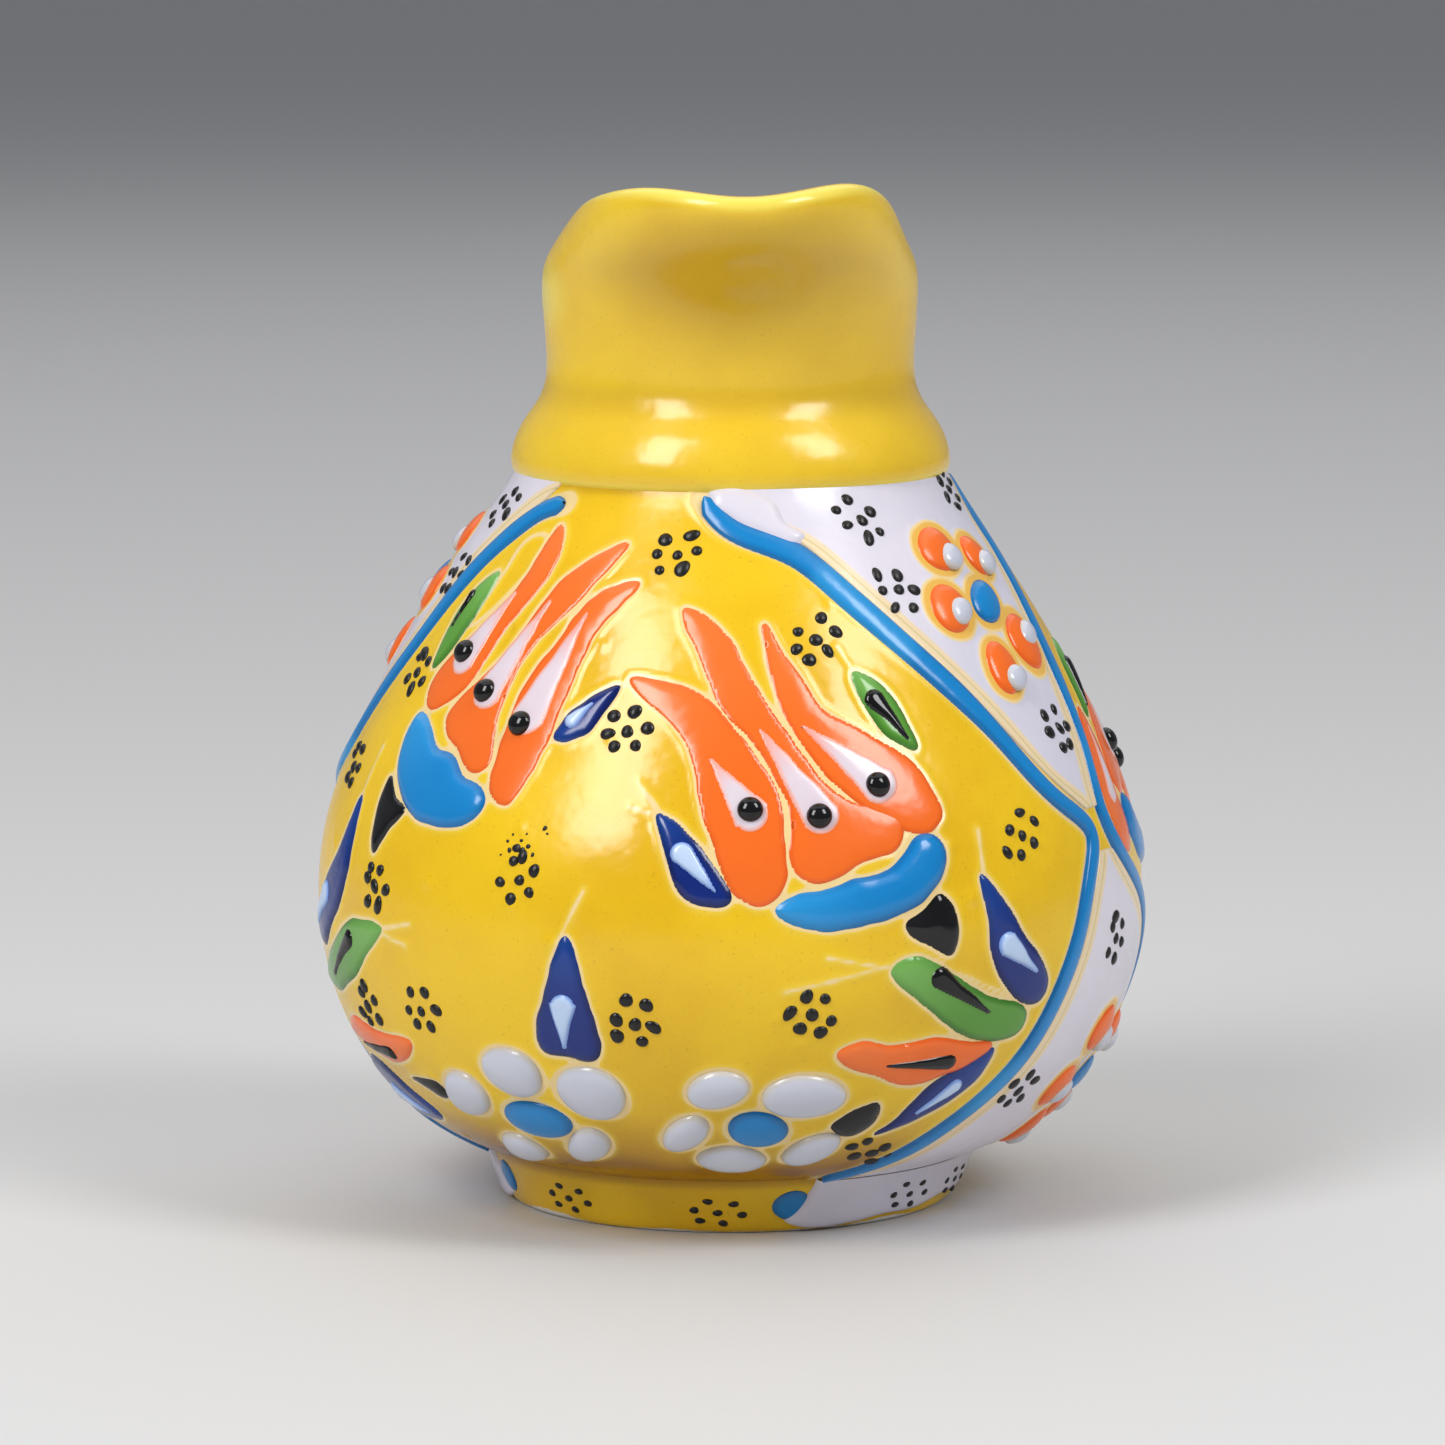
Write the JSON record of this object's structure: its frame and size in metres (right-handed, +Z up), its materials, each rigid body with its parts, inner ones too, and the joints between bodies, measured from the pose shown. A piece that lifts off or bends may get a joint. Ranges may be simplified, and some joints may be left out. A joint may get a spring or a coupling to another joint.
{
  "type": "pouring vase",
  "caption": "Small pear-shaped pouring vase with a drawn-out lip, foot ring and raised enamel tulips, daisies, leaves, borders and dot clusters on yellow and white grounds.",
  "frame": {"origin": "centre of the foot's bearing face, on the surface that the vase stands on", "axes": "+Z up along the axis that the vase was turned on, -Y towards the pouring lip, +X to the right of someone who faces the lip"},
  "size_m": [0.098, 0.0976, 0.1205],
  "materials": {
    "yellow_glaze": "glossy transparent glaze over warm yellow slip, amber where it pools",
    "white_glaze": "glossy thick white glaze with a faint lilac cast",
    "turquoise_enamel": "glossy raised enamel, cerulean blue",
    "orange_enamel": "glossy raised enamel, orange paling to salmon",
    "pale_pink_enamel": "glossy raised enamel, pale pink and lilac",
    "black_enamel": "glossy raised enamel, black",
    "navy_enamel": "glossy raised enamel, navy blue",
    "green_enamel": "glossy raised enamel, leaf green",
    "sky_blue_enamel": "glossy raised enamel, pale sky blue",
    "white_enamel": "satin raised enamel, white"
  },
  "bodies": {
    "root": {"back_black_buds": "black_enamel", "back_daisy_centres": "turquoise_enamel", "back_daisy_petals": "white_enamel", "back_dots": "black_enamel", "back_green_leaves": "green_enamel", "back_leaf_highlights": "sky_blue_enamel", "back_leaf_seeds": "black_enamel", "back_left_border": "turquoise_enamel", "back_left_tulip_calyx": "turquoise_enamel", "back_left_tulip_drops": "pale_pink_enamel", "back_left_tulip_eyes": "black_enamel", "back_left_tulip_petals": "orange_enamel", "back_navy_leaves": "navy_enamel", "back_orange_leaves": "orange_enamel", "back_right_border": "turquoise_enamel", "back_right_tulip_calyx": "turquoise_enamel", "back_right_tulip_drops": "pale_pink_enamel", "back_right_tulip_eyes": "black_enamel", "back_right_tulip_petals": "orange_enamel", "belly_shell": "yellow_glaze", "foot_ring": "yellow_glaze", "front_black_buds": "black_enamel", "front_daisy_centres": "turquoise_enamel", "front_daisy_petals": "white_enamel", "front_dots": "black_enamel", "front_green_leaves": "green_enamel", "front_leaf_highlights": "sky_blue_enamel", "front_leaf_seeds": "black_enamel", "front_left_border": "turquoise_enamel", "front_left_tulip_calyx": "turquoise_enamel", "front_left_tulip_drops": "pale_pink_enamel", "front_left_tulip_eyes": "black_enamel", "front_left_tulip_petals": "orange_enamel", "front_navy_leaves": "navy_enamel", "front_orange_leaves": "orange_enamel", "front_right_border": "turquoise_enamel", "front_right_tulip_calyx": "turquoise_enamel", "front_right_tulip_drops": "pale_pink_enamel", "front_right_tulip_eyes": "black_enamel", "front_right_tulip_petals": "orange_enamel", "left_ground_dots": "black_enamel", "left_lower_flower_beads": "white_enamel", "left_lower_flower_centre": "turquoise_enamel", "left_lower_flower_petals": "orange_enamel", "left_lower_ground": "white_glaze", "left_upper_flower_beads": "white_enamel", "left_upper_flower_centre": "turquoise_enamel", "left_upper_flower_petals": "orange_enamel", "left_upper_ground": "white_glaze", "neck_spout": "yellow_glaze", "right_ground_dots": "black_enamel", "right_lower_flower_beads": "white_enamel", "right_lower_flower_centre": "turquoise_enamel", "right_lower_flower_petals": "orange_enamel", "right_lower_ground": "white_glaze", "right_upper_flower_beads": "white_enamel", "right_upper_flower_centre": "turquoise_enamel", "right_upper_flower_petals": "orange_enamel", "right_upper_ground": "white_glaze"}
  },
  "joints": []
}
